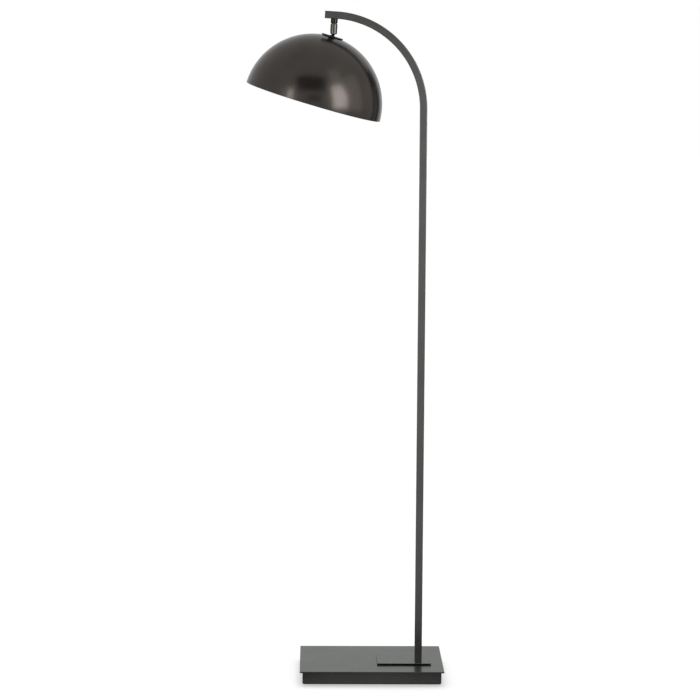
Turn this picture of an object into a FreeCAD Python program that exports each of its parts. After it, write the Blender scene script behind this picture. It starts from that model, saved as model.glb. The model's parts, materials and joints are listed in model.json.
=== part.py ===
import FreeCAD, Part
import os
from math import atan2, cos, pi, radians, sin, sqrt

# Bridge floor lamp: a heavy flat base, a square tube that bends over at the top, and a dome shade
# that hangs from the arm on a swivel and a ball joint.
# Millimetres. +X is to the right, +Y to the back, +Z up. The origin is the middle of the underside.

V = FreeCAD.Vector

# ---- driving dimensions: base
BASE_WIDTH = 318.0
BASE_DEPTH = 229.0
BASE_HEIGHT = 29.8            # floor to the top face of the top plate
TOP_PLATE = 3.0
OVERHANG = 6.0                # of the top plate past the skirt, all round
FELT = 2.0
FELT_INSET = 2.0              # from the skirt's outer face
COVER = 1.2                   # bottom cover sheet
SKIRT_WALL = 1.5
SKIRT_CORNER = 2.5
WEIGHT_THICK = 14.0
WEIGHT_GAP = 4.0              # between the weight and the skirt's inner face
ROOM = (134.0, 56.0)          # hole in the weight for the pole's nut and the terminal block
ROOM_X = 65.0                 # its middle
CHANNEL = 44.0                # width of the weight's slot to the cord inlet

# ---- driving dimensions: screws, studs and tabs in the base
COVER_SCREW_INSET = 12.0      # from the skirt's outer faces
COVER_SCREW_R = 2.0
COVER_SCREW_HEAD_R = 3.6
COVER_SCREW_TOP = 10.0
TAB = 20.0
TAB_THICK = 1.5
STUD_R = 2.9
STUD_REACH = 6.0              # below the weight
STUD_NUT = (10.0, 5.0)        # across flats, thickness
STUD_PLACES = [(-110, 70), (-110, -70), (140, 70), (-20, -84), (140, -84)]

# ---- driving dimensions: cord inlet and terminal block
CORD_X = 32.0                 # cord inlet in the back of the skirt
CORD_Z = 13.5
CORD_BORE_R = 3.8
CORD_BUSH_R = 6.4
BUSH_OUT = 3.0                # the bush stands this far out of the skirt
BUSH_IN = 6.0
TERMINAL = (30.0, 18.0, 13.0)  # length, width, height
TERMINAL_X = 32.0
TERMINAL_PITCH = (16.0, 10.0)  # between its screws, along and across
TERMINAL_ENTRY_R = 2.1        # of the hole where both leads go in
TERMINAL_SCREW = (2.3, 5.0)   # radius, length

# ---- driving dimensions: raised foot plate, where the pole stands
FOOT_WIDTH = 120.0
FOOT_DEPTH = 98.0
FOOT_X = 72.6                 # centre of the foot plate
FOOT_Y = -6.2
FOOT_PLATE = 1.5
FOOT_GAP = 2.2                # height of the recessed spacer: the shadow gap
FOOT_RECESS = 9.0             # how far the spacer stands back from the foot plate's edges

# ---- driving dimensions: what ties the pole to the base
NIPPLE_R = 4.9
NIPPLE_BORE = 3.75
PLUG_HEIGHT = 24.0
FIXING_WASHER = (13.0, 2.0)   # radius, thickness
FIXING_NUT = (17.0, 5.5)      # across flats, thickness
HOLE_R = 5.3                  # for the nipple, in the base and the foot plate

# ---- driving dimensions: square tube
POLE_X = 105.1
POLE_Y = -18.0
TUBE = 15.9
TUBE_WALL = 1.5
TUBE_CORNER = 1.6
TUBE_BORE = TUBE - 2 * TUBE_WALL
BEND_HEIGHT = 1258.0          # where the straight pole ends
BEND_RADIUS = 201.5           # of the tube's centre line
BEND_ANGLE = 87.0
ARM_END = 24.5                # straight stretch after the bend
ARM_CAP = 6.0                 # length of the cap that closes the arm's end
SWIVEL_FROM_TIP = 21.0        # swivel axis, measured along the arm from its tip

# ---- driving dimensions: swivel, as distances down its axis from the arm's centre line
SPIGOT_TOP = 2.6
SPIGOT_NUT = (11.0, 3.0)      # across flats, thickness
COLLAR_END = 17.5
GROOVE_END = 19.5             # the friction washer shows in this groove
BALL_CENTRE = 37.35
BARREL_END = 40.9
COLLAR_R = 7.5
BARREL_R = 7.5
WASHER_R = 6.2
SPIGOT_R = 4.0
SPIGOT_BORE = 2.4
FLANGE_THICK = 0.9            # of the spigot's lower end, which holds the barrel up
STOP_HEIGHT = 1.0
STOP_SECTOR = 79.0            # degrees taken by the spigot's tooth, and by the cap's lug
BARREL_CAP = 5.0
BALL_R = 6.0
NECK_R = 3.5
NOTCH_TOP = -0.6              # of the notch that lets the neck swing out, below the ball's centre
RUNNING = 0.05                # radial running clearance of the turning fits
SEAT = (2.7, 2.6, 6.4)        # bore, underside and top above the ball's centre
DISC_SPRING = (2.9, 5.6, 0.5, 0.9)  # inner radius, outer radius, thickness, rise

# ---- driving dimensions: shade and what hangs with it, as distances down its own axis from the ball
SHADE_R = 151.2
SHADE_WALL = 1.2
SHADE_CENTRE = 160.2          # ball centre to the dome's centre
RIM_ABOVE_CENTRE = 4.3        # the dome stops a little short of a half sphere
CROWN_FLAT_R = 18.0
RIM_HEM = 4.0
DISC_R = 24.0
DISC_THICK = 2.0
SHOULDER = (7.0, 1.6)         # radius and height of the cone between the disc and the neck
STEM_R = 5.0
STEM_END = 24.0
STEM_BORE = 2.2
CROWN_WASHER = (12.0, 1.5)    # radius, thickness
CROWN_NUT = (14.0, 4.0)       # across flats, thickness

# ---- driving dimensions: lamp holder, as heights in the shade's own frame
CAP_TOP = -17.4
CAP_BELOW_TOP = -23.6
CAP_SKIRT = -30.0
CAP_LOW = -38.0
CAP_R = 18.4
CORE_TOP = -30.5
CORE_LOW = -42.0
HOLDER_LOW = -66.0
SHELL_R = 17.5
SHELL_WALL = 0.7
BEAD_Z = -59.5                # middle of the bead rolled round the shell
SOCKET_R = 13.6               # inside of the screw shell
THREAD_PITCH = 3.6
THREAD_RISE = 0.5
TERMINAL_AWAY = 12.2          # the holder's terminal screws, from its axis

# ---- driving dimensions: turn switch
SWITCH_Z = -36.0
SHAFT_R = 2.0
SHAFT = (8.5, 27.0)           # its ends, from the holder's axis
KNOB_R = 5.5
KNOB = (21.5, 32.5)           # its ends, from the holder's axis
KNOB_FLUTES = 12
FLUTE_R = 0.7

# ---- driving dimensions: bulb
BULB_R = 30.0
BULB_LENGTH = 104.0
BULB_CAP = 26.0               # length of the screw cap
BULB_CAP_WALL = 0.8
BULB_THREADS = 4
DIFFUSER_WALL = 1.2
SEAM_RISE = 10.0              # the diffuser's edge, above the middle of its sphere
NECK_SWELL = (5.0, 18.0)      # the neck's outline is 5 mm wider 18 mm below the cap
BOARD = (22.0, 1.7)           # radius, thickness

# ---- driving dimensions: wiring
LEAD_R = 0.8
LEAD_SPACING = 0.95           # of each lead from the pair's middle
LEAD_OFFSET = 2.5             # the leads lie this far outside the tube's centre line
LEAD_TURN = 5.5               # bend radius where they turn down into the swivel
LEAD_LOW_Z = 9.0              # height of the leads inside the base
LEAD_LOW_TURN = 6.0           # bend radius where they turn up into the pole
LEAD_PARTING = 0.4            # between the leads' ends where they turn with the swivel

# ---- how the lamp stands at rest
SWIVEL_REST = -9.5            # degrees about the swivel axis
TILT_REST = 13.35             # degrees between the shade's axis and the swivel axis

CLEAR = 0.3                   # gap round loose fits that don't move
SLIP = 0.1                    # gap round fits that are pushed in
PAST = 1.0                    # how far a cutting tool runs past the face that it cuts

PLATE_TOP = BASE_HEIGHT + FOOT_GAP + FOOT_PLATE
PLATE_BELOW = BASE_HEIGHT - TOP_PLATE
WEIGHT_LOW = PLATE_BELOW - WEIGHT_THICK
COVER_TOP = FELT + COVER
SKIRT_W = BASE_WIDTH - 2 * OVERHANG
SKIRT_D = BASE_DEPTH - 2 * OVERHANG
INSIDE_W = SKIRT_W - 2 * SKIRT_WALL
INSIDE_D = SKIRT_D - 2 * SKIRT_WALL
LEAN = 90.0 - BEND_ANGLE      # the arm's end rises this much, and the swivel leans with it

os.makedirs("parts", exist_ok=True)


# ---------------------------------------------------------------- helpers
def save(name, *solids):
    """Writes one node. Several solids go in as separate solids of that node."""
    shape = solids[0] if len(solids) == 1 else Part.makeCompound(list(solids))
    shape.exportStep("parts/%s.step" % name)
    print("%-22s %2d solid(s) %10.1f mm3 %s" % (name, len(shape.Solids), shape.Volume, shape.isValid()))


def rod(r, low, high, x=0.0, y=0.0):
    return Part.makeCylinder(r, high - low, V(x, y, low))


def ring(outer, inner, low, high, x=0.0, y=0.0):
    return rod(outer, low, high, x, y).cut(rod(inner, low - PAST, high + PAST, x, y))


def cone(r_low, r_high, low, high, x=0.0, y=0.0):
    return Part.makeCone(r_low, r_high, high - low, V(x, y, low))


def rod_y(r, y_from, y_to, x, z):
    """A rod that lies along Y, either way."""
    way = V(0, 1 if y_to > y_from else -1, 0)
    return Part.makeCylinder(r, abs(y_to - y_from), V(x, y_from, z), way)


def hexagon(flats, low, high, bore, x=0.0, y=0.0):
    """A hexagon nut with two of its flats facing +Y and -Y, and its corners eased."""
    corner = flats / 2 / cos(radians(30))
    points = [V(x + corner * cos(radians(60 * i)), y + corner * sin(radians(60 * i)), low) for i in range(7)]
    body = Part.Face(Part.makePolygon(points)).extrude(V(0, 0, high - low))
    easing = cone(flats / 2 - 0.2, flats / 2 + (high - low) * 2, low, high, x, y)
    return body.common(easing).cut(rod(bore, low - PAST, high + PAST, x, y))


def plate(width, depth, low, high, corner, x=0.0, y=0.0):
    """A flat plate with rounded upright corners."""
    box = Part.makeBox(width, depth, high - low, V(x - width / 2, y - depth / 2, low))
    upright = [e for e in box.Edges if abs(e.BoundBox.ZLength - (high - low)) < 1e-6]
    return box.makeFillet(corner, upright)


def eased(solid, height, radius):
    """The same solid with the outer edges of its flat face at this height rounded over."""
    face = max((f for f in solid.Faces if abs(f.BoundBox.ZMin - height) < 1e-6
                and f.BoundBox.ZLength < 1e-6), key=lambda f: f.Area)
    return solid.makeFillet(radius, face.OuterWire.Edges)


def turned(points):
    """A solid of revolution about Z from (radius, height) points joined by straight lines."""
    outline = Part.makePolygon([V(r, 0, z) for r, z in points] + [V(points[0][0], 0, points[0][1])])
    return spun([outline])


def spun(edges):
    return Part.Face(Part.Wire(edges)).revolve(V(0, 0, 0), V(0, 0, 1), 360)


def line(a, b):
    return Part.LineSegment(a, b).toShape()


def sector(outer, inner, low, high, middle, width):
    """A piece of a ring, `width` degrees wide, centred on the direction `middle`."""
    wedge = Part.makeCylinder(outer, high - low, V(0, 0, low), V(0, 0, 1), width)
    wedge.rotate(V(0, 0, 0), V(0, 0, 1), middle - width / 2)
    return wedge.cut(rod(inner, low - PAST, high + PAST))


def ridge(radius, rise, z):
    """Four points of an outline that goes out by `rise` and back again, downwards past z."""
    return [(radius, z + THREAD_PITCH / 3), (radius + rise, z + THREAD_PITCH / 9),
            (radius + rise, z - THREAD_PITCH / 9), (radius, z - THREAD_PITCH / 3)]


def tube_along(edges, radius, start, direction):
    """A round solid rod of this radius along the joined edges."""
    path = Part.Wire(edges)
    outline = Part.Wire(Part.makeCircle(radius, start, direction))
    solid = path.makePipeShell([outline], True, False)
    ratio = solid.Volume / (pi * radius ** 2 * path.Length)
    print("    lead %.1f mm long, volume / (section x length) = %.4f" % (path.Length, ratio))
    return solid


# ---------------------------------------------------------------- places on the bent tube
# The bend's centre, and the arm's end as points of the tube's centre line in the XZ plane.
BEND_CENTRE = V(POLE_X - BEND_RADIUS, POLE_Y, BEND_HEIGHT)
ARM_WAY = V(-sin(radians(BEND_ANGLE)), 0, cos(radians(BEND_ANGLE)))
ARM_UP = V(cos(radians(BEND_ANGLE)), 0, sin(radians(BEND_ANGLE)))
ARM_START = BEND_CENTRE + ARM_UP * BEND_RADIUS
ARM_TIP = ARM_START + ARM_WAY * ARM_END
SWIVEL_TOP = ARM_TIP - ARM_WAY * SWIVEL_FROM_TIP
BALL = SWIVEL_TOP - ARM_UP * BALL_CENTRE

# Placements of the three bodies that hang from the arm. In each one's own frame the ball's centre
# is the origin and +Z points up the axis towards the arm.
FIXED = FreeCAD.Placement(BALL, FreeCAD.Rotation(V(0, 1, 0), LEAN))
TURNED = FIXED.multiply(FreeCAD.Placement(V(0, 0, 0), FreeCAD.Rotation(V(0, 0, 1), SWIVEL_REST)))
TILTED = TURNED.multiply(FreeCAD.Placement(V(0, 0, 0), FreeCAD.Rotation(V(0, 1, 0), TILT_REST)))


def placed(shape, placement):
    moved = shape.copy()
    moved.Placement = placement.multiply(moved.Placement)
    return moved


def up(distance):
    """Height in a hanging body's own frame of a distance down the swivel axis from the arm."""
    return BALL_CENTRE - distance


# ---------------------------------------------------------------- base
def screw_places():
    x = SKIRT_W / 2 - COVER_SCREW_INSET
    y = SKIRT_D / 2 - COVER_SCREW_INSET
    return [(sx * x, sy * y) for sx in (-1, 1) for sy in (-1, 1)]


def make_bottom():
    save("felt_pad", plate(SKIRT_W - 2 * FELT_INSET, SKIRT_D - 2 * FELT_INSET, 0, FELT, 3))
    cover = plate(INSIDE_W - CLEAR, INSIDE_D - CLEAR, FELT, COVER_TOP, 1.5)
    screws = []
    for x, y in screw_places():
        countersink = cone(COVER_SCREW_HEAD_R + 0.2, COVER_SCREW_R + 0.2, FELT - 0.01, COVER_TOP + 0.01, x, y)
        cover = cover.cut(countersink)
        screw = cone(COVER_SCREW_HEAD_R, COVER_SCREW_R, FELT, COVER_TOP, x, y)
        screw = screw.fuse(rod(COVER_SCREW_R, COVER_TOP, COVER_SCREW_TOP, x, y))
        slot = Part.makeBox(5, 0.8, 0.7, V(x - 2.5, y - 0.4, FELT - 0.01))
        screws.append(screw.cut(slot))
    save("bottom_cover", cover)
    save("cover_screws", *screws)


def make_skirt():
    """The plinth's folded wall, with a tab in each corner that the cover's screws go into."""
    skirt = plate(SKIRT_W, SKIRT_D, FELT, PLATE_BELOW, SKIRT_CORNER)
    skirt = skirt.cut(plate(INSIDE_W, INSIDE_D, FELT - PAST, PLATE_BELOW + PAST, SKIRT_CORNER - SKIRT_WALL))
    reach = plate(INSIDE_W + 1, INSIDE_D + 1, 0, PLATE_BELOW, SKIRT_CORNER - SKIRT_WALL)
    for x, y in screw_places():
        out_x = SKIRT_WALL if x > 0 else -SKIRT_WALL
        out_y = SKIRT_WALL if y > 0 else -SKIRT_WALL
        tab = Part.makeBox(TAB, TAB, TAB_THICK, V(x - TAB / 2 + out_x, y - TAB / 2 + out_y, COVER_TOP))
        skirt = skirt.fuse(tab.common(reach))
        skirt = skirt.cut(rod(COVER_SCREW_R + 0.05, 0, PLATE_BELOW - PAST, x, y))
    inlet = rod_y(CORD_BUSH_R, SKIRT_D / 2 - 5, SKIRT_D / 2 + 5, CORD_X, CORD_Z)
    save("base_skirt", skirt.cut(inlet).removeSplitter())


def make_weight():
    """Iron weight under the top plate, held up by welded studs. A hole in it leaves room for wiring."""
    weight = plate(INSIDE_W - 2 * WEIGHT_GAP, INSIDE_D - 2 * WEIGHT_GAP, WEIGHT_LOW, PLATE_BELOW, 8)
    room_x, room_y = ROOM
    room = Part.makeBox(room_x, room_y, 60, V(ROOM_X - room_x / 2, POLE_Y - room_y / 2, -10))
    channel = Part.makeBox(CHANNEL, BASE_DEPTH / 2 - POLE_Y, 60, V(CORD_X - CHANNEL / 2, POLE_Y, -10))
    weight = weight.cut(room).cut(channel)
    studs = []
    nuts = []
    flats, thick = STUD_NUT
    for x, y in STUD_PLACES:
        weight = weight.cut(rod(STUD_R + CLEAR, 0, PLATE_BELOW + PAST, x, y))
        studs.append(rod(STUD_R, WEIGHT_LOW - STUD_REACH, PLATE_BELOW, x, y))
        nuts.append(hexagon(flats, WEIGHT_LOW - thick, WEIGHT_LOW, STUD_R + SLIP, x, y))
    save("base_weight", weight.removeSplitter())
    save("weight_studs", *studs)
    save("weight_nuts", *nuts)


def make_top_plate():
    top = plate(BASE_WIDTH, BASE_DEPTH, PLATE_BELOW, BASE_HEIGHT, 1.5)
    top = eased(top, BASE_HEIGHT, 0.5)
    save("base_top_plate", top.cut(rod(HOLE_R, 0, 60, POLE_X, POLE_Y)))


def make_cord_inlet():
    """A flanged bush in the back of the skirt. The cord itself isn't part of this model."""
    back = SKIRT_D / 2
    inside = back - SKIRT_WALL - 0.2
    body = rod_y(CORD_BUSH_R - SLIP, back - BUSH_IN, back + BUSH_OUT, CORD_X, CORD_Z)
    flange = rod_y(CORD_BUSH_R + 2, back, back + BUSH_OUT - 0.5, CORD_X, CORD_Z)
    rim = [e for e in flange.Edges if e.BoundBox.YMin > back + BUSH_OUT - 0.6]
    lock = rod_y(CORD_BUSH_R + 1.2, inside - 2, inside, CORD_X, CORD_Z)
    bush = body.fuse(flange.makeChamfer(1.0, rim)).fuse(lock)
    bore = rod_y(CORD_BORE_R, back - 15, back + 15, CORD_X, CORD_Z)
    save("cord_bush", bush.cut(bore).removeSplitter())


def make_terminal():
    """Two-way terminal block on the bottom cover, where the leads from the lamp holder end."""
    length, width, height = TERMINAL
    screw_r, screw_length = TERMINAL_SCREW
    low = COVER_TOP + CLEAR
    screw_low = low + 5
    block = Part.makeBox(length, width, height, V(TERMINAL_X - length / 2, POLE_Y - width / 2, low))
    block = block.makeChamfer(1.0, [e for e in block.Edges if e.BoundBox.ZMin > low + height - 0.1])
    screws = []
    for side_y in (-1, 1):
        y = POLE_Y + side_y * TERMINAL_PITCH[1] / 2
        for side_x in (-1, 1):
            x = TERMINAL_X + side_x * TERMINAL_PITCH[0] / 2
            block = block.cut(rod(screw_r + CLEAR, screw_low, low + height + PAST, x, y))
            screw = rod(screw_r, screw_low, screw_low + screw_length, x, y)
            slot = Part.makeBox(6, 0.7, 1, V(x - 3, y - 0.35, screw_low + screw_length - 0.7))
            screws.append(screw.cut(slot))
    entry = Part.makeCylinder(TERMINAL_ENTRY_R, 8, V(lead_start_x() - 0.5, POLE_Y, LEAD_LOW_Z), V(1, 0, 0))
    save("terminal_block", block.cut(entry))
    save("terminal_screws", *screws)


def lead_start_x():
    return TERMINAL_X + TERMINAL[0] / 2 - 5.5


# ---------------------------------------------------------------- foot plate and pole fixing
def make_foot():
    spacer = plate(FOOT_WIDTH - 2 * FOOT_RECESS, FOOT_DEPTH - 2 * FOOT_RECESS,
                   BASE_HEIGHT, BASE_HEIGHT + FOOT_GAP, 1.0, FOOT_X, FOOT_Y)
    hole = rod(HOLE_R, 0, 60, POLE_X, POLE_Y)
    save("foot_spacer", spacer.cut(hole))
    foot = plate(FOOT_WIDTH, FOOT_DEPTH, BASE_HEIGHT + FOOT_GAP, PLATE_TOP, 1.2, FOOT_X, FOOT_Y)
    save("foot_plate", eased(foot, PLATE_TOP, 0.35).cut(hole))


def make_pole_fixing():
    """A hollow threaded nipple ties the pole's plug to the base, with a washer and nut below."""
    size = TUBE_BORE - SLIP
    plug = plate(size, size, PLATE_TOP, PLATE_TOP + PLUG_HEIGHT, 0.5, POLE_X, POLE_Y)
    save("pole_plug", plug.cut(rod(NIPPLE_R + 0.05, 0, 80, POLE_X, POLE_Y)))
    washer_r, washer_thick = FIXING_WASHER
    flats, nut_thick = FIXING_NUT
    washer_low = PLATE_BELOW - washer_thick
    nut_low = washer_low - nut_thick
    nipple_top = PLATE_TOP + PLUG_HEIGHT - 2
    save("fixing_nipple", ring(NIPPLE_R, NIPPLE_BORE, nut_low - 1.5, nipple_top, POLE_X, POLE_Y))
    save("fixing_washer", ring(washer_r, NIPPLE_R + CLEAR, washer_low, PLATE_BELOW, POLE_X, POLE_Y))
    save("fixing_nut", hexagon(flats, nut_low, washer_low, NIPPLE_R + 0.05, POLE_X, POLE_Y))


# ---------------------------------------------------------------- pole and arm
def bent_bar(size, corner, foot_z, tip_extra):
    """A solid bar of this section along the tube's centre line, from foot_z to past the arm's tip."""
    pole = plate(size, size, foot_z, BEND_HEIGHT, corner, POLE_X, POLE_Y)
    end = max((f for f in pole.Faces if f.BoundBox.ZMin > BEND_HEIGHT - 1e-6), key=lambda f: f.Area)
    turn = V(0, -1, 0)
    bend = end.revolve(BEND_CENTRE, turn, BEND_ANGLE)
    last = end.copy()
    last.rotate(BEND_CENTRE, turn, BEND_ANGLE)
    arm = last.extrude(ARM_WAY * (ARM_END + tip_extra))
    return pole.fuse([bend, arm]).removeSplitter()


def make_tube():
    """The pole and arm, one bent square tube, and the cap in its end. Returns the tube's outside."""
    outer = bent_bar(TUBE, TUBE_CORNER, PLATE_TOP, 0)
    inner = bent_bar(TUBE_BORE, 0.4, PLATE_TOP - 5, 5)
    hole = placed(rod(SPIGOT_R + 0.15, up(TUBE / 2 + 4), up(TUBE / 2 - 4)), FIXED)
    save("pole_tube", outer.cut(inner).cut(hole))

    size = TUBE_BORE - SLIP
    cap = Part.makeBox(ARM_CAP, size, size, V(0, -size / 2, -size / 2))
    cap = cap.makeFillet(0.4, [e for e in cap.Edges if abs(e.BoundBox.XLength - ARM_CAP) < 1e-6])
    cap.Placement = FreeCAD.Placement(ARM_TIP, FreeCAD.Rotation(V(0, 1, 0), LEAN))
    save("arm_end_cap", cap)
    return outer


# ---------------------------------------------------------------- swivel
CAVITY_R = BALL_R + RUNNING
FLANGE_R = BALL_R - 0.4
TOOTH_TOP = up(GROOVE_END + BARREL_CAP) - 0.2
FLANGE_TOP = TOOTH_TOP - STOP_HEIGHT
FLANGE_LOW = FLANGE_TOP - FLANGE_THICK


def make_swivel_top(tube_outside):
    """What is fixed to the arm: collar, spigot, its nut inside the arm, and the friction washer."""
    low = up(COLLAR_END)
    collar = ring(COLLAR_R, SPIGOT_R + 0.05, low, up(TUBE / 2 - 1))
    collar = collar.makeChamfer(0.6, [e for e in collar.Edges if e.BoundBox.ZMax < low + 1e-6
                                      and e.BoundBox.XLength > 2 * COLLAR_R - 0.1])
    save("swivel_collar", placed(collar, FIXED).cut(tube_outside))

    spigot = rod(SPIGOT_R, FLANGE_LOW, up(SPIGOT_TOP)).fuse(rod(FLANGE_R, FLANGE_LOW, FLANGE_TOP))
    tooth = sector(FLANGE_R, SPIGOT_R - 0.5, FLANGE_TOP, TOOTH_TOP, 0, STOP_SECTOR)
    spigot = spigot.fuse(tooth).cut(rod(SPIGOT_BORE, FLANGE_LOW - PAST, up(0)))
    save("swivel_spigot", placed(spigot.removeSplitter(), FIXED))

    flats, thick = SPIGOT_NUT
    floor = up(TUBE / 2 - TUBE_WALL)
    save("spigot_nut", placed(hexagon(flats, floor, floor + thick, SPIGOT_R + 0.05), FIXED))
    washer = ring(WASHER_R, SPIGOT_R + CLEAR, up(GROOVE_END) + 0.02, low)
    save("friction_washer", placed(washer, FIXED))


def make_barrel():
    """The turning barrel. The ball sits in its lower end, and a notch lets the neck swing out."""
    low, high = up(BARREL_END), up(GROOVE_END)
    barrel = rod(BARREL_R, low, high)
    rims = [e for e in barrel.Edges if e.BoundBox.ZLength < 1e-6]
    barrel = barrel.makeChamfer(0.9, [e for e in rims if e.BoundBox.ZMin < low + 1e-6])
    barrel = barrel.makeChamfer(0.5, [e for e in barrel.Edges if e.BoundBox.ZMin > high - 1e-6])
    barrel = barrel.cut(rod(CAVITY_R, 0, high + PAST)).cut(Part.makeSphere(CAVITY_R))
    half = NECK_R + 0.4
    notch_reach = BARREL_R + 1.5
    notch = Part.makeBox(notch_reach, 2 * half, 20, V(-notch_reach, -half, NOTCH_TOP - 20))
    save("swivel_barrel", placed(barrel.cut(notch), TURNED))

    cap_low = high - BARREL_CAP
    cap = ring(CAVITY_R - 0.02, SPIGOT_R + RUNNING, cap_low, high)
    lug = sector(CAVITY_R - SLIP, SPIGOT_R + 0.2, FLANGE_TOP + 0.1, cap_low, 180, STOP_SECTOR)
    save("barrel_cap", placed(cap.fuse(lug).removeSplitter(), TURNED))


def make_ball_pressing():
    """Seat ring on the ball, and the pair of disc springs above it that keeps the tilt stiff."""
    bore, seat_low, seat_top = SEAT
    seat = ring(CAVITY_R - SLIP, bore, seat_low, seat_top).cut(Part.makeSphere(CAVITY_R))
    save("ball_seat", placed(seat, TURNED))

    inner, outer, thick, rise = DISC_SPRING
    low = seat_top + 0.05
    facing = low + rise + thick + 0.25
    lower = turned([(inner, low + rise), (outer, low), (outer, low + thick), (inner, low + rise + thick)])
    upper = turned([(inner, facing), (outer, facing + rise), (outer, facing + rise + thick),
                    (inner, facing + thick)])
    save("disc_springs", placed(lower, TURNED), placed(upper, TURNED))


# ---------------------------------------------------------------- shade
DISC_TOP = -(SHADE_CENTRE - sqrt(SHADE_R ** 2 - CROWN_FLAT_R ** 2) - DISC_THICK)
CROWN_TOP = DISC_TOP - DISC_THICK
CROWN_BELOW = CROWN_TOP - SHADE_WALL
RIM_Z = -(SHADE_CENTRE - RIM_ABOVE_CENTRE)
STEM_HOLE_R = STEM_R + 0.2


def dome_point(radius, z):
    """Point of the dome's outline on a sphere of this radius, at height z in the shade's frame."""
    rise = z + SHADE_CENTRE
    return V(sqrt(radius ** 2 - rise ** 2), 0, z)


def dome_arc(radius, z_start, z_end):
    middle = (atan2(z_start + SHADE_CENTRE, dome_point(radius, z_start).x)
              + atan2(z_end + SHADE_CENTRE, dome_point(radius, z_end).x)) / 2
    through = V(radius * cos(middle), 0, radius * sin(middle) - SHADE_CENTRE)
    return Part.Arc(dome_point(radius, z_start), through, dome_point(radius, z_end)).toShape()


def make_shade():
    """Spun dome: a flat crown for the disc, a half-sphere wall, and a hem turned in at the rim."""
    inner = SHADE_R - SHADE_WALL
    hem = inner - SHADE_WALL
    hem_top = RIM_Z + RIM_HEM
    hole_top, hole_low = V(STEM_HOLE_R, 0, CROWN_TOP), V(STEM_HOLE_R, 0, CROWN_BELOW)
    shade = spun([line(hole_top, dome_point(SHADE_R, CROWN_TOP)),
                  dome_arc(SHADE_R, CROWN_TOP, RIM_Z),
                  line(dome_point(SHADE_R, RIM_Z), dome_point(hem, RIM_Z)),
                  dome_arc(hem, RIM_Z, hem_top),
                  line(dome_point(hem, hem_top), dome_point(inner, hem_top)),
                  dome_arc(inner, hem_top, CROWN_BELOW),
                  line(dome_point(inner, CROWN_BELOW), hole_low),
                  line(hole_low, hole_top)])
    save("shade", placed(shade, TILTED))

    disc = ring(DISC_R, STEM_HOLE_R, CROWN_TOP, DISC_TOP)
    disc = disc.makeFillet(0.3, [e for e in disc.Edges if e.BoundBox.ZMin > DISC_TOP - 1e-6
                                 and e.BoundBox.XLength > 2 * DISC_R - 0.1])
    save("crown_disc", placed(disc, TILTED))


def make_ball_stud():
    """Ball, neck, cone shoulder and hollow threaded stem, turned in one piece, with its washer and nut."""
    shoulder_r, shoulder_height = SHOULDER
    shoulder_top = DISC_TOP + shoulder_height
    stud = Part.makeSphere(BALL_R).fuse(rod(NECK_R, shoulder_top - 0.5, -1))
    stud = stud.fuse(cone(shoulder_r, NECK_R + 0.5, DISC_TOP, shoulder_top))
    stud = stud.fuse(rod(STEM_R, -STEM_END, DISC_TOP))
    bell_mouth = cone(STEM_BORE, 4.0, 2.8, BALL_R + 0.4)
    stud = stud.cut(rod(STEM_BORE, -STEM_END - PAST, BALL_R + PAST)).cut(bell_mouth)
    save("ball_stud", placed(stud.removeSplitter(), TILTED))
    washer_r, washer_thick = CROWN_WASHER
    flats, nut_thick = CROWN_NUT
    washer_low = CROWN_BELOW - washer_thick
    save("crown_washer", placed(ring(washer_r, STEM_R + SLIP, washer_low, CROWN_BELOW), TILTED))
    save("crown_nut", placed(hexagon(flats, washer_low - nut_thick, washer_low, STEM_R + 0.05), TILTED))


# ---------------------------------------------------------------- lamp holder
def make_holder_case():
    """Cap, shell and insulating liner of the lamp holder, from its top downwards."""
    bore = STEM_R + 0.05
    wall = SHELL_WALL + 0.1
    cap = turned([(bore, CAP_TOP), (7.4, CAP_TOP), (7.8, CAP_BELOW_TOP + 1.1), (CAP_R, CAP_SKIRT),
                  (CAP_R, CAP_LOW), (CAP_R - wall, CAP_LOW), (CAP_R - wall, CAP_SKIRT - 0.3),
                  (7.0, CAP_BELOW_TOP), (bore, CAP_BELOW_TOP)])
    shaft_hole = rod_y(SHAFT_R + PAST, 0, -30, 0, SWITCH_Z)
    save("holder_cap", placed(cap.cut(shaft_hole), TILTED))

    shell = ring(SHELL_R, SHELL_R - SHELL_WALL, HOLDER_LOW, CAP_SKIRT - 2)
    bead = turned([(SHELL_R - 0.1, BEAD_Z + 1.5), (SHELL_R + 0.7, BEAD_Z + 0.7),
                   (SHELL_R + 0.7, BEAD_Z - 0.7), (SHELL_R - 0.1, BEAD_Z - 1.5)])
    save("holder_shell", placed(shell.fuse(bead).cut(shaft_hole).removeSplitter(), TILTED))
    liner_r = SHELL_R - SHELL_WALL - SLIP
    save("holder_liner", placed(ring(liner_r, liner_r - 0.4, HOLDER_LOW + 1, CORE_LOW), TILTED))


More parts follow.
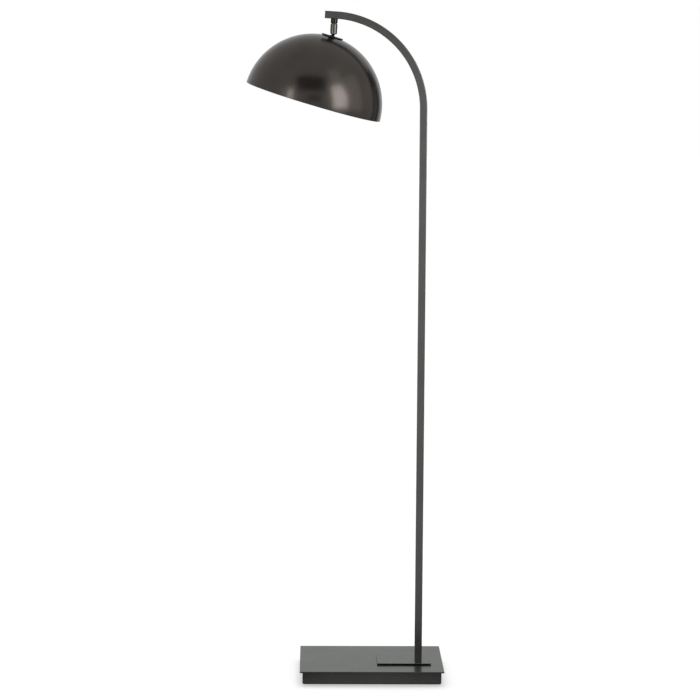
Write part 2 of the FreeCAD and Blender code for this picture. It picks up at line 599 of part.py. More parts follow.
def make_holder_core():
    """Moulded core with the two terminal screws, the screw shell and the centre contact."""
    core = rod(SHELL_R - 1.4, CORE_LOW, CORE_TOP)
    for y in (-LEAD_SPACING, LEAD_SPACING):
        core = core.cut(rod(LEAD_R + SLIP, CORE_TOP - 3, CORE_TOP + PAST, 0, y))
    screws = []
    for x in (-TERMINAL_AWAY, TERMINAL_AWAY):
        core = core.cut(rod(1.75, CORE_TOP - 4, CORE_TOP + PAST, x))
        screw = rod(1.7, CORE_TOP - 4, CORE_TOP, x).fuse(rod(2.6, CORE_TOP, CORE_TOP + 1.2, x))
        screws.append(placed(screw.removeSplitter(), TILTED))
    pocket = rod_y(SHAFT_R + RUNNING, -SHAFT[0] + 0.5, -SHELL_R, 0, SWITCH_Z)
    save("holder_core", placed(core.cut(pocket), TILTED))
    save("holder_terminals", *screws)

    save("screw_shell", placed(rolled_sleeve(SOCKET_R, 0.6, HOLDER_LOW + 2, CORE_LOW), TILTED))
    tongue = Part.makeBox(12, 5, 0.5, V(-4, -2.5, CORE_LOW - 0.5))
    tongue = tongue.fuse(Part.makeBox(6, 5, 0.5, V(-3, -2.5, CORE_LOW - 1.4)))
    tongue = tongue.fuse(Part.makeBox(0.5, 5, 1.4, V(-3.5, -2.5, CORE_LOW - 1.4)))
    save("centre_contact", placed(tongue.removeSplitter(), TILTED))


def rolled_sleeve(radius, wall, low, high):
    """A thin sleeve with rings rolled in it, as the screw shell of a lamp holder has."""
    rings = int((high - low - 3) / THREAD_PITCH)
    inside = [(radius, high)]
    for i in range(rings):
        inside += ridge(radius, THREAD_RISE, high - 3 - i * THREAD_PITCH)
    inside.append((radius, low))
    outside = [(r + wall, z) for r, z in reversed(inside)]
    return turned(inside + outside)


def make_switch():
    """Turn knob of the lamp holder's switch: a shaft into the core, with a fluted knob on it."""
    save("switch_shaft", placed(rod_y(SHAFT_R, -SHAFT[0], -SHAFT[1], 0, SWITCH_Z), TILTED))
    near, far = KNOB
    knob = rod_y(KNOB_R, -near, -far, 0, SWITCH_Z)
    knob = knob.makeFillet(0.8, [e for e in knob.Edges if e.BoundBox.YLength < 1e-6])
    for i in range(KNOB_FLUTES):
        angle = 2 * pi * i / KNOB_FLUTES
        x, z = (KNOB_R + 0.5) * cos(angle), (KNOB_R + 0.5) * sin(angle)
        knob = knob.cut(rod_y(FLUTE_R, -near + PAST, -far - PAST, x, SWITCH_Z + z))
    socket = rod_y(SHAFT_R + 0.02, -near + 0.1, -SHAFT[1], 0, SWITCH_Z)
    save("switch_knob", placed(knob.cut(socket), TILTED))


# ---------------------------------------------------------------- bulb
BULB_TIP = CORE_LOW - 1.5
BULB_BASE_LOW = BULB_TIP - BULB_CAP
BULB_END = BULB_TIP - BULB_LENGTH
BULB_THREAD_R = SOCKET_R - 0.9


def make_bulb_cap():
    """Centre contact, glass insulator and the rolled screw cap."""
    contact = cone(4.6, 2.4, BULB_TIP - 1.2, BULB_TIP).fuse(rod(4.6, BULB_TIP - 2.2, BULB_TIP - 1.2))
    save("bulb_contact", placed(contact.removeSplitter(), TILTED))
    insulator = cone(9.8, 5.2, BULB_TIP - 5.0, BULB_TIP - 2.3)
    save("bulb_insulator", placed(insulator, TILTED))

    top = BULB_TIP - 5.1
    floor = BULB_TIP - 8
    outline = [(0, top), (10.4, top), (BULB_THREAD_R, BULB_TIP - 7)]
    for i in range(BULB_THREADS):
        outline += ridge(BULB_THREAD_R, THREAD_RISE, BULB_TIP - 8.8 - THREAD_PITCH * i)
    inner = BULB_THREAD_R - BULB_CAP_WALL
    outline += [(BULB_THREAD_R, BULB_BASE_LOW), (inner, BULB_BASE_LOW), (inner, floor), (0, floor)]
    save("bulb_screw_cap", placed(turned(outline), TILTED))


def make_bulb_body():
    """Moulded neck, round board and opal diffuser."""
    middle = BULB_END + BULB_R
    seam = middle + SEAM_RISE
    seam_r = sqrt(BULB_R ** 2 - SEAM_RISE ** 2) - CLEAR
    top = BULB_BASE_LOW - SLIP
    swell = V(BULB_THREAD_R + NECK_SWELL[0], 0, top - NECK_SWELL[1])
    neck = spun([line(V(0, 0, top), V(BULB_THREAD_R, 0, top)),
                 Part.Arc(V(BULB_THREAD_R, 0, top), swell, V(seam_r, 0, seam)).toShape(),
                 line(V(seam_r, 0, seam), V(0, 0, seam)),
                 line(V(0, 0, seam), V(0, 0, top))])
    save("bulb_neck", placed(neck, TILTED))
    board_r, board_thick = BOARD
    save("bulb_board", placed(rod(board_r, seam - SLIP - board_thick, seam - SLIP), TILTED))

    ball = Part.makeSphere(BULB_R, V(0, 0, middle))
    hollow = Part.makeSphere(BULB_R - DIFFUSER_WALL, V(0, 0, middle))
    below = rod(BULB_R + PAST, BULB_END - PAST, seam - 0.15)
    save("bulb_diffuser", placed(ball.common(below).cut(hollow), TILTED))


# ---------------------------------------------------------------- leads
def supply_path(y):
    """The lead's route: out of the terminal, up the pole, round the bend and down into the swivel."""
    pole_x = POLE_X + LEAD_OFFSET
    radius = BEND_RADIUS + LEAD_OFFSET
    centre = V(BEND_CENTRE.x, y, BEND_CENTRE.z)
    side = V(ARM_UP.z, 0, -ARM_UP.x)
    turn_off = (SWIVEL_TOP - BEND_CENTRE).dot(side) + LEAD_TURN
    turn_up = sqrt((radius - LEAD_TURN) ** 2 - turn_off ** 2)
    turn_centre = centre + side * turn_off + ARM_UP * turn_up
    touch = (turn_centre - centre).normalize()
    half = (V(1, 0, 0) + touch).normalize()
    on_axis = turn_centre - side * LEAD_TURN
    corner = (touch - side).normalize()
    end = FIXED.multVec(V(0, 0, FLANGE_LOW - 0.2))
    end.y = y

    start = V(lead_start_x(), y, LEAD_LOW_Z)
    turn = V(pole_x - LEAD_LOW_TURN, y, LEAD_LOW_Z)
    low_centre = turn + V(0, 0, LEAD_LOW_TURN)
    rise = V(pole_x, y, LEAD_LOW_Z + LEAD_LOW_TURN)
    diagonal = V(sin(radians(45)), 0, -sin(radians(45)))
    bend_start = V(pole_x, y, BEND_HEIGHT)
    edges = [line(start, turn),
             Part.Arc(turn, low_centre + diagonal * LEAD_LOW_TURN, rise).toShape(),
             line(rise, bend_start),
             Part.Arc(bend_start, centre + half * radius, centre + touch * radius).toShape(),
             Part.Arc(centre + touch * radius, turn_centre + corner * LEAD_TURN, on_axis).toShape(),
             line(on_axis, end)]
    return edges, start


def make_leads():
    """A pair of leads in three lengths, parted where the swivel twists them and the ball bends them."""
    supply, barrel, head = [], [], []
    for side in (-LEAD_SPACING, LEAD_SPACING):
        edges, start = supply_path(POLE_Y + side)
        supply.append(tube_along(edges, LEAD_R, start, V(1, 0, 0)))
        barrel_top = FLANGE_LOW - 0.2 - LEAD_PARTING
        barrel.append(placed(rod(LEAD_R, BALL_R + 0.3, barrel_top, 0, side), TURNED))
        head.append(placed(rod(LEAD_R, CORE_TOP - 2.8, 3.2, 0, side), TILTED))
    save("supply_leads", *supply)
    save("barrel_leads", *barrel)
    save("head_leads", *head)


make_bottom()
make_skirt()
make_weight()
make_top_plate()
make_cord_inlet()
make_terminal()
make_foot()
make_pole_fixing()
make_swivel_top(make_tube())
make_barrel()
make_ball_pressing()
make_shade()
make_ball_stud()
make_holder_case()
make_holder_core()
make_switch()
make_bulb_cap()
make_bulb_body()
make_leads()

print("ball centre", BALL, "swivel axis", ARM_UP, "arm tip", ARM_TIP)
print("shade centre", TILTED.multVec(V(0, 0, -SHADE_CENTRE)))
print("tilt axis", TILTED.Rotation.multVec(V(0, 1, 0)), "shade axis", TILTED.Rotation.multVec(V(0, 0, 1)))
print("switch axis", TILTED.Rotation.multVec(V(0, -1, 0)), "through", TILTED.multVec(V(0, -20, SWITCH_Z)))
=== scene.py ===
# %% [markdown]
# # Bridge floor lamp
# A bridge lamp is a floor lamp whose arm bends over at the top, so that its shade hangs beside
# the pole over a chair or a card table. This one is a flat steel base, a square tube that bends
# in one long curve, and a half-sphere metal shade on a swivel. The measured pieces are already
# there as solids. This lesson dresses them: it builds each piece that shows as a clean mesh at
# the solids' own sizes, gives it its real finish, and lights it as a product photograph.

# %% Load the frame
import json
from math import acos, cos, pi, radians, sin, sqrt, tan

import bmesh
import bpy
from mathutils import Matrix, Vector


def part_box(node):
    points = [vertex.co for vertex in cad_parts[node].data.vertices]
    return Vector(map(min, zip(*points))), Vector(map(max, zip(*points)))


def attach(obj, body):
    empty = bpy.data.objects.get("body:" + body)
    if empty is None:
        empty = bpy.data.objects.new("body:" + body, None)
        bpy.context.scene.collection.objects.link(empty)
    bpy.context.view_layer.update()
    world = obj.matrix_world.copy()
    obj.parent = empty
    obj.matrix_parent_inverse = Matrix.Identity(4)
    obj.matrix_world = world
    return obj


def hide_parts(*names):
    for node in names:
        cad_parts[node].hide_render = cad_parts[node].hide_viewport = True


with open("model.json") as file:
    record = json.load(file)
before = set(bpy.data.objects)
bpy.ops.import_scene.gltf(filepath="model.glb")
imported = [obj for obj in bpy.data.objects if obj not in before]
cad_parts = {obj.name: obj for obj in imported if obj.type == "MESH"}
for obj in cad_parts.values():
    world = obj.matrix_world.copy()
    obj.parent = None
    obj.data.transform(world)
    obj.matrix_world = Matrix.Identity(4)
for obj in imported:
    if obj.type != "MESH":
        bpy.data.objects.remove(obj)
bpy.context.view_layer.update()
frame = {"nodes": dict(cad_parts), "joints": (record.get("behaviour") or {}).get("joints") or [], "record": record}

record = frame["record"]
nodes = frame["nodes"]
joints = {joint["name"]: joint for joint in frame["joints"]}
MM = 0.001

# %% [markdown]
# ## Where the hanging pieces are
# The shade doesn't stand straight: the arm's end rises a little, the swivel leans with it, and
# the shade is tilted on its ball. Each hanging piece is easiest to build upright about its own
# axis, and to put in its place afterwards. So the first thing to find is those places. Both turn
# about the middle of the ball, and the joints say where that is and how far the tilt is from
# its own zero.

# %% Places to build in
def place(origin, up, side):
    """The matrix of a place whose Z runs along `up` and whose Y runs along `side`."""
    z, y = Vector(up).normalized(), Vector(side).normalized()
    x = y.cross(z).normalized()
    axes = Matrix((x, y, z)).transposed()
    return Matrix.Translation(origin) @ axes.to_4x4()


UPRIGHT = Matrix.Identity(4)
ball = Vector(joints["tilt"]["pos_m"])
swivel_axis = Vector(joints["swivel"]["axis"])
tilt_axis = Vector(joints["tilt"]["axis"])
tilt_now = -radians(joints["tilt"]["range_deg"][0])
shade_axis = Matrix.Rotation(tilt_now, 3, tilt_axis) @ swivel_axis

SWIVEL = place(ball, swivel_axis, tilt_axis)
SHADE = place(ball, shade_axis, tilt_axis)
print("ball at %s mm" % [round(v / MM, 1) for v in ball])
print("shade's axis leans %.1f degrees" % (acos(shade_axis.z) / radians(1)))


# %% Measure a solid in its own place
def reach(node, where):
    """Widest radius about the place's Z axis, and the lowest and highest point along it."""
    back = where.inverted()
    points = [back @ v.co for v in nodes[node].data.vertices]
    radius = max(sqrt(p.x ** 2 + p.y ** 2) for p in points)
    return radius, min(p.z for p in points), max(p.z for p in points)


for name in ("shade", "crown_disc", "ball_stud"):
    radius, low, high = reach(name, SHADE)
    measures = name, radius / MM, low / MM, high / MM
    print("%-11s radius %6.2f mm, from %7.2f to %7.2f mm" % measures)

# %% [markdown]
# ## The camera
# The photograph fits a long lens about five metres away, at the height of the shade and looking
# a little down, so the base shows its top as a narrow band. A long lens keeps the pole straight
# and square. The angles below were solved from the corners of the base and the line of the
# pole. The distance is right if the base is as wide as it is taken to be.

# %% Camera
LENS_MM = 118.34
CAMERA_AT = Vector((-0.1299, -5.0411, 1.3516))
YAW, PITCH, ROLL = radians(0.894), radians(7.052), radians(0.361)

forward = Vector((sin(YAW) * cos(PITCH), cos(YAW) * cos(PITCH), -sin(PITCH)))
level = Vector((cos(YAW), -sin(YAW), 0.0))
above = level.cross(forward)
right = level * cos(ROLL) + above * sin(ROLL)
upward = above * cos(ROLL) - level * sin(ROLL)

bpy.context.scene.view_settings.view_transform = "Standard"
camera_data = bpy.data.cameras.new("camera")
camera_data.lens = LENS_MM
camera_data.sensor_width = 36.0
camera = bpy.data.objects.new("camera", camera_data)
bpy.context.scene.collection.objects.link(camera)
camera_axes = Matrix((right, upward, -forward)).transposed().to_4x4()
camera.matrix_world = Matrix.Translation(CAMERA_AT) @ camera_axes
bpy.context.scene.camera = camera


def pixel(point):
    """Where a point shows in the photograph, which is 700 by 700 pixels."""
    away = Vector(point) - CAMERA_AT
    focal = LENS_MM / camera_data.sensor_width * 700
    depth = away.dot(forward)
    return 350 + focal * away.dot(right) / depth, 350 - focal * away.dot(upward) / depth


print("the ball shows at x %.1f, y %.1f" % pixel(ball))

# %% [markdown]
# ## Floor, background and light
# A catalogue photograph shows the lamp on white, with only a soft shadow round the base. The
# floor here is a large pale sheet. A little glow is added where the camera looks at it, so that
# the floor reaches white without more light on the lamp, and its soft shadow still shows. The
# world looks plain white for the same reason, and is weaker as a light.

# %% Stage helpers
def link_object(name, data):
    piece = bpy.data.objects.new(name, data)
    bpy.context.scene.collection.objects.link(piece)
    return piece


def new_tree(material):
    material.use_nodes = True
    material.node_tree.nodes.clear()
    return material.node_tree


def seen_directly(tree):
    """1 for rays that show the background itself: camera, mirror and glass rays."""
    path = tree.nodes.new("ShaderNodeLightPath")
    total = path.outputs["Is Camera Ray"]
    for ray in ("Is Glossy Ray", "Is Transmission Ray"):
        add = tree.nodes.new("ShaderNodeMath")
        add.operation = "MAXIMUM"
        tree.links.new(total, add.inputs[0])
        tree.links.new(path.outputs[ray], add.inputs[1])
        total = add.outputs[0]
    return total


def blended(tree, share, first, second):
    """A mix of two shader nodes."""
    node = tree.nodes.new("ShaderNodeMixShader")
    tree.links.new(share, node.inputs[0])
    tree.links.new(first.outputs[0], node.inputs[1])
    tree.links.new(second.outputs[0], node.inputs[2])
    return node


# %% World
WORLD_LIGHT = 0.45
world = bpy.data.worlds.new("studio")
bpy.context.scene.world = world
tree = new_tree(world)
as_light = tree.nodes.new("ShaderNodeBackground")
as_light.inputs["Strength"].default_value = WORLD_LIGHT
as_seen = tree.nodes.new("ShaderNodeBackground")
as_seen.inputs["Strength"].default_value = 1.0
for background in (as_light, as_seen):
    background.inputs["Color"].default_value = (1, 1, 1, 1)
either = blended(tree, seen_directly(tree), as_light, as_seen)
out = tree.nodes.new("ShaderNodeOutputWorld")
tree.links.new(either.outputs[0], out.inputs["Surface"])
print("the world lights at %.2f and looks white" % WORLD_LIGHT)

# %% [markdown]
# ### The floor
# The pole in the photograph is dark near the base and grows lighter upwards, and the plinth is darker than a plain
# white floor would make it. Each height of the pole mirrors the floor further away, so here the floor does it. It
# has two looks: matt paint with a little glow for the camera, and for mirror rays a painted reflection, a glow
# whose brightness rises with distance, with one soft dip close to the base, which darkens what the pole and plinth
# mirror. Its numbers were found by matching the pole and the plinth to the photograph, so they describe the
# picture and not a measured floor.

# %% Floor as the metal sees it
FLOOR_HALF = 30.0
FLOOR_BELOW = 0.3 * MM
FLOOR_COLOUR = (0.84, 0.84, 0.84, 1)
FLOOR_GLOW = 0.36
BASE_REACH = 0.13
NEAR_OFFSET, FAR_OFFSET = 0.6, 1.55
DIP_AT, DIP_WIDTH, DIP_DEPTH = 0.19, 0.12, 0.9


def figure(tree, operation, first, second=None):
    """One step of arithmetic. The second value is a number or another node's output."""
    node = tree.nodes.new("ShaderNodeMath")
    node.operation = operation
    tree.links.new(first, node.inputs[0])
    if isinstance(second, float):
        node.inputs[1].default_value = second
    elif second is not None:
        tree.links.new(second, node.inputs[1])
    return node.outputs[0]


def painted_floor_reflection(tree):
    """The floor's painted reflection: how bright mirrors see it, dim close to the base, nearly white far away."""
    coordinates = tree.nodes.new("ShaderNodeTexCoord")
    length = tree.nodes.new("ShaderNodeVectorMath")
    length.operation = "LENGTH"
    tree.links.new(coordinates.outputs["Object"], length.inputs[0])
    past_base = figure(tree, "SUBTRACT", length.outputs["Value"], BASE_REACH)
    beyond = figure(tree, "MAXIMUM", past_base, 0.0)
    near, far = figure(tree, "ADD", beyond, NEAR_OFFSET), figure(tree, "ADD", beyond, FAR_OFFSET)
    rise = figure(tree, "DIVIDE", near, far)
    widths = figure(tree, "DIVIDE", figure(tree, "SUBTRACT", beyond, DIP_AT), DIP_WIDTH)
    fall = figure(tree, "MULTIPLY", figure(tree, "MULTIPLY", widths, widths), -1.0)
    dip = figure(tree, "MULTIPLY", figure(tree, "EXPONENT", fall), -DIP_DEPTH)
    return figure(tree, "MULTIPLY", rise, figure(tree, "ADD", dip, 1.0))


# %% Floor paint
def floor_paint():
    material = bpy.data.materials.new("floor_paint")
    tree = new_tree(material)
    matt = tree.nodes.new("ShaderNodeBsdfDiffuse")
    matt.inputs["Color"].default_value = FLOOR_COLOUR
    glow = tree.nodes.new("ShaderNodeEmission")
    glow.inputs["Strength"].default_value = FLOOR_GLOW
    both = tree.nodes.new("ShaderNodeAddShader")
    tree.links.new(matt.outputs[0], both.inputs[0])
    tree.links.new(glow.outputs[0], both.inputs[1])
    # Painted reflection: a glow that only mirror rays see, darker close to the base.
    mirrored = tree.nodes.new("ShaderNodeEmission")
    tree.links.new(painted_floor_reflection(tree), mirrored.inputs["Strength"])
    path = tree.nodes.new("ShaderNodeLightPath")
    look = blended(tree, seen_directly(tree), matt, both)
    shown = blended(tree, path.outputs["Is Glossy Ray"], look, mirrored)
    out = tree.nodes.new("ShaderNodeOutputMaterial")
    tree.links.new(shown.outputs[0], out.inputs["Surface"])
    return material


def flat_sheet(name, width, depth):
    """A single face in the XY plane."""
    mesh = bpy.data.meshes.new(name)
    x, y = width / 2, depth / 2
    mesh.from_pydata([(-x, -y, 0), (x, -y, 0), (x, y, 0), (-x, y, 0)], [], [(0, 1, 2, 3)])
    return mesh


floor = link_object("floor", flat_sheet("floor", 2 * FLOOR_HALF, 2 * FLOOR_HALF))
floor.location.z = -FLOOR_BELOW
floor.data.materials.append(floor_paint())
print("the floor is %.0f m across" % (2 * FLOOR_HALF))

# %% [markdown]
# ## Softboxes, sky and cards
# Dark metal is drawn by what it mirrors, and its brightness by the light that falls on it is
# hardly seen. So the two jobs are kept apart. The photograph shows a tall bright strip on the
# right of the shade and a short narrow one on the left. Two softboxes make them here, one on
# each side in front of the lamp, and they light the metal only. The plain light on everything
# matt comes in about equal parts from the world and from a broad sun behind the lamp, which
# also gives the soft shadow in front of the base. That sun is as wide as a piece of sky, so its
# shadow has no edge, and mirrors don't see it.

# %% Softboxes
AIM = Vector((0.0, -0.02, 1.2))


def at_bearing(bearing, distance, height):
    """A point round the lamp. Bearing 0 is in front, and positive is to the right."""
    angle = radians(bearing)
    return Vector((AIM.x + distance * sin(angle), AIM.y - distance * cos(angle), height))


def facing(where, target):
    way = (Vector(target) - where).normalized()
    return way.to_track_quat("-Z", "Y").to_matrix().to_4x4()


def softbox(name, bearing, distance, height, width, tall, strength):
    """An area light of this size. Strength is how bright its face looks, where white is 1."""
    data = bpy.data.lights.new(name, "AREA")
    data.shape = "RECTANGLE"
    data.size = width
    data.size_y = tall
    data.energy = strength * pi * width * tall
    light = link_object(name, data)
    where = at_bearing(bearing, distance, height)
    light.matrix_world = Matrix.Translation(where) @ facing(where, (AIM.x, AIM.y, height))
    light.visible_camera = False
    light.visible_diffuse = False
    print("%-14s at %5.1f degrees, %.2f x %.2f m" % (name, bearing, width, tall))
    return light


softbox("softbox_right", 43, 2.4, 1.80, 1.1, 1.6, 6.3)
softbox("softbox_left", -39.5, 2.6, 1.66, 0.36, 1.4, 5.4)

# %% Soft sky
SKY_LIGHT, SKY_TILT, SKY_WIDTH = 0.46, -34, 50

sky_data = bpy.data.lights.new("soft_sky", "SUN")
sky_data.angle = radians(SKY_WIDTH)
sky_data.energy = SKY_LIGHT * pi
sky = link_object("soft_sky", sky_data)
sky.rotation_euler = (radians(SKY_TILT), 0, 0)
sky.visible_glossy = False
print("the sky is %d degrees wide, %d degrees behind the lamp" % (SKY_WIDTH, -SKY_TILT))

# %% [markdown]
# ### Cards
# The shade in the photograph has patches that are darker or softer than a white room and two
# softboxes would give, and flat cards make them. Two dark ones stand between the softboxes.
# Three round the softboxes are brighter than white but much dimmer than the softboxes, so the
# bright patches fade instead of ending. One at the right, behind the lamp, is nearly black and
# draws the dark line inside the shade's right edge. Only mirrors see the cards, because a real
# panel would also change the light.

# %% Cards that only mirrors see
CARD_AIM_HEIGHT = 1.3


def card(name, bearing, distance, height, width, tall, brightness):
    """A card of this brightness, from 0, black, to 1, white, or brighter."""
    mesh = flat_sheet(name, width, tall)
    material = bpy.data.materials.new(name)
    tree = new_tree(material)
    glow = tree.nodes.new("ShaderNodeEmission")
    glow.inputs["Strength"].default_value = brightness
    out = tree.nodes.new("ShaderNodeOutputMaterial")
    tree.links.new(glow.outputs[0], out.inputs["Surface"])
    mesh.materials.append(material)
    piece = link_object(name, mesh)
    where = at_bearing(bearing, distance, height)
    piece.matrix_world = Matrix.Translation(where) @ facing(where, (AIM.x, AIM.y, CARD_AIM_HEIGHT))
    piece.visible_camera = False
    piece.visible_diffuse = False
    piece.visible_shadow = False
    return piece


card("card_front", -6, 2.2, 2.75, 2.2, 1.1, 0.2)
card("card_level", 0, 2.2, 1.62, 0.9, 0.36, 0.35)
card("panel_right", 70, 2.4, 1.9, 1.5, 2.2, 1.7)
card("panel_high", 44, 2.6, 3.5, 1.0, 1.6, 1.7)
card("panel_left", -45, 2.7, 1.5, 0.9, 1.7, 1.5)
card("flag_right", 136, 1.6, 1.30, 0.45, 1.4, 0.1)


# %% [markdown]
# ## Mesh helpers
# Nearly every piece of this lamp is one of three things: turned on a lathe, cut from plate, or a
# tube bent round a former. Blender's Spin tool makes the first from half an outline. The other
# two are a skin stretched over a row of equal rings. Real edges are never knife sharp, so an
# outline's corner may carry a small radius, and that thin rounding is what catches the light.

# %% Outlines with eased corners
def eased(corners, steps=4):
    """Points of a closed outline. A corner written (x, y, radius) is rounded with an arc."""
    points = []
    for i, corner in enumerate(corners):
        here = Vector(corner[:2])
        radius = corner[2] if len(corner) > 2 else 0.0
        if radius == 0.0:
            points.append(here)
            continue
        before = (Vector(corners[i - 1][:2]) - here).normalized()
        after = (Vector(corners[(i + 1) % len(corners)][:2]) - here).normalized()
        half = before.angle(after) / 2
        centre = here + (before + after).normalized() * (radius / sin(half))
        first = here + before * (radius / tan(half)) - centre
        last = here + after * (radius / tan(half)) - centre
        turn = first.angle(last)
        for k in range(steps + 1):
            share = k / steps
            swung = first * sin((1 - share) * turn) + last * sin(share * turn)
            points.append(centre + swung / sin(turn))
    return points


def rounded_rectangle(width, depth, corner, steps=6):
    x, y = width / 2, depth / 2
    return eased([(x, y, corner), (-x, y, corner), (-x, -y, corner), (x, -y, corner)], steps)


# %% From outline to mesh
SMOOTH_UP_TO = radians(32)
EDGE_STEPS = 5


def finish_mesh(bm, name, where):
    """Closes the mesh's normals, shades it smooth up to real corners, and puts it in its place."""
    bmesh.ops.remove_doubles(bm, verts=bm.verts, dist=1e-7)
    bmesh.ops.recalc_face_normals(bm, faces=bm.faces)
    mesh = bpy.data.meshes.new(name)
    bm.to_mesh(mesh)
    bm.free()
    mesh.transform(where)
    mesh.shade_smooth()
    mesh.set_sharp_from_angle(angle=SMOOTH_UP_TO)
    piece = link_object(name, mesh)
    weigh = piece.modifiers.new("flat_faces_stay_flat", "WEIGHTED_NORMAL")
    weigh.keep_sharp = True
    return piece


def turned(name, outline, where, steps=128):
    """Spins a closed outline of (radius, height) points about the place's Z axis."""
    bm = bmesh.new()
    verts = [bm.verts.new((max(r, 0.0), 0.0, z)) for r, z in outline]
    edges = [bm.edges.new((verts[i - 1], verts[i])) for i in range(len(verts))]
    bmesh.ops.spin(bm, geom=verts + edges, cent=(0, 0, 0), axis=(0, 0, 1),
                   angle=2 * pi, steps=steps, use_merge=True)
    bmesh.ops.dissolve_degenerate(bm, dist=1e-8, edges=bm.edges)
    return finish_mesh(bm, name, where)


def skinned(name, rings, where, joined_ends=False):
    """A skin over equal rings of points. Its ends are closed flat, or joined to each other."""
    bm = bmesh.new()
    rows = [[bm.verts.new(point) for point in ring] for ring in rings]
    count = len(rows[0])
    pairs = list(zip(rows, rows[1:]))
    if joined_ends:
        pairs.append((rows[-1], rows[0]))
    for low, high in pairs:
        for i in range(count):
            bm.faces.new((low[i - 1], low[i], high[i], high[i - 1]))
    if not joined_ends:
        bm.faces.new(rows[0])
        bm.faces.new(rows[-1])
    return finish_mesh(bm, name, where)


def flat_plate(name, width, depth, low, high, corner, ease, x=0.0, y=0.0, ease_low=0.0):
    """A plate with rounded upright corners and a rounded upper edge."""
    turns = [pi / 2 * k / EDGE_STEPS for k in range(EDGE_STEPS + 1)]
    profile = [(0.0, low)]
    if ease_low:
        profile = [(ease_low * (1 - sin(t)), low + ease_low * (1 - cos(t))) for t in turns]
    profile += [(ease * (1 - cos(t)), high - ease * (1 - sin(t))) for t in turns]
    rings = []
    for inset, z in profile:
        outline = rounded_rectangle(width - 2 * inset, depth - 2 * inset, corner - inset)
        rings.append([(x + p.x, y + p.y, z) for p in outline])
    return skinned(name, rings, UPRIGHT)


def dress(piece, body, material, slot, *stands_for):
    """Material, body and the solids that the piece stands for, in one line. The slot is not used."""
    piece.data.materials.clear()
    piece.data.materials.append(material)
    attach(piece, body)
    if stands_for:
        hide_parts(*stands_for)
    print("%-18s %6d faces, on %s" % (piece.name, len(piece.data.polygons), body))
    return piece


# %% [markdown]
# ## Finishes
# A finish is a colour that wanders a little, a gloss that wanders more, and a fine relief.
# Object coordinates carry all three, because a piece keeps them when it turns, and they are in
# metres, so a grain of half a millimetre is written as half a millimetre.

# %% Material helpers
def shader(name):
    """A material with a Principled shader. Returns the material, its tree and that shader."""
    material = bpy.data.materials.new(name)
    tree = new_tree(material)
    surface = tree.nodes.new("ShaderNodeBsdfPrincipled")
    out = tree.nodes.new("ShaderNodeOutputMaterial")
    tree.links.new(surface.outputs[0], out.inputs["Surface"])
    print("finish: %s" % name)
    return material, tree, surface


def object_point(tree, where=UPRIGHT, stretch=(1, 1, 1)):
    """The point on the piece, in metres, seen from this place. Stretch above 1 packs a pattern."""
    coordinates = tree.nodes.new("ShaderNodeTexCoord")
    mapping = tree.nodes.new("ShaderNodeMapping")
    mapping.vector_type = "TEXTURE"
    mapping.inputs["Location"].default_value = where.to_translation()
    mapping.inputs["Rotation"].default_value = where.to_euler()
    mapping.inputs["Scale"].default_value = [1 / s for s in stretch]
    tree.links.new(coordinates.outputs["Object"], mapping.inputs["Vector"])
    return mapping.outputs[0]


def clouds(tree, point, size, detail=3.0, rough=0.55):
    """Soft noise whose patches are about this many metres across, from 0 to 1."""
    noise = tree.nodes.new("ShaderNodeTexNoise")
    noise.inputs["Scale"].default_value = 1.0 / size
    noise.inputs["Detail"].default_value = detail
    noise.inputs["Roughness"].default_value = rough
    tree.links.new(point, noise.inputs["Vector"])
    return noise.outputs["Fac"]


def between(tree, value, low, high, start=0.3, end=0.7):
    """Turns a 0 to 1 pattern into numbers from low to high."""
    span = tree.nodes.new("ShaderNodeMapRange")
    span.inputs["From Min"].default_value = start
    span.inputs["From Max"].default_value = end
    span.inputs["To Min"].default_value = low
    span.inputs["To Max"].default_value = high
    tree.links.new(value, span.inputs["Value"])
    return span.outputs[0]


def two_tones(tree, value, first, second):
    """Blends two colours by a pattern."""
    ramp = tree.nodes.new("ShaderNodeValToRGB")
    ramp.color_ramp.elements[0].position = 0.3
    ramp.color_ramp.elements[1].position = 0.7
    ramp.color_ramp.elements[0].color = (*first, 1)
    ramp.color_ramp.elements[1].color = (*second, 1)
    tree.links.new(value, ramp.inputs["Fac"])
    return ramp.outputs["Color"]


def relief(tree, surface, height, depth, under=None):
    """Bump of this depth in metres. Several reliefs are chained through `under`."""
    bump = tree.nodes.new("ShaderNodeBump")
    bump.inputs["Strength"].default_value = 1.0
    bump.inputs["Distance"].default_value = depth
    tree.links.new(height, bump.inputs["Height"])
    if under is not None:
        tree.links.new(under, bump.inputs["Normal"])
    tree.links.new(bump.outputs[0], surface.inputs["Normal"])
    return bump.outputs[0]


# %% [markdown]
# ### Gunmetal lacquer
# The pole and the base are steel under a thin satin lacquer, grey with a breath of green. It is
# metal to the eye: the base mirrors the foot of the pole. The camera sees the base's top at a
# very low angle, where bare metal turns nearly white. The photograph shows it mid grey, so the
# tint at grazing angles holds it back.

# %% Gunmetal lacquer
def gunmetal():
    material, tree, surface = shader("gunmetal_lacquer")
    point = object_point(tree)
    mottle = clouds(tree, point, 0.055, 4.0)
    colour = two_tones(tree, mottle, (0.099, 0.100, 0.096), (0.115, 0.116, 0.111))
    tree.links.new(colour, surface.inputs["Base Color"])
    surface.inputs["Metallic"].default_value = 0.9
    surface.inputs["Specular Tint"].default_value = (0.67, 0.69, 0.68, 1)
    gloss = clouds(tree, point, 0.02, 5.0, 0.65)
    tree.links.new(between(tree, gloss, 0.20, 0.27), surface.inputs["Roughness"])
    peel = relief(tree, surface, clouds(tree, point, 0.0016, 2.0), 0.0000022)
    relief(tree, surface, clouds(tree, point, 0.00035, 2.0, 0.7), 0.0000005, peel)
    return material


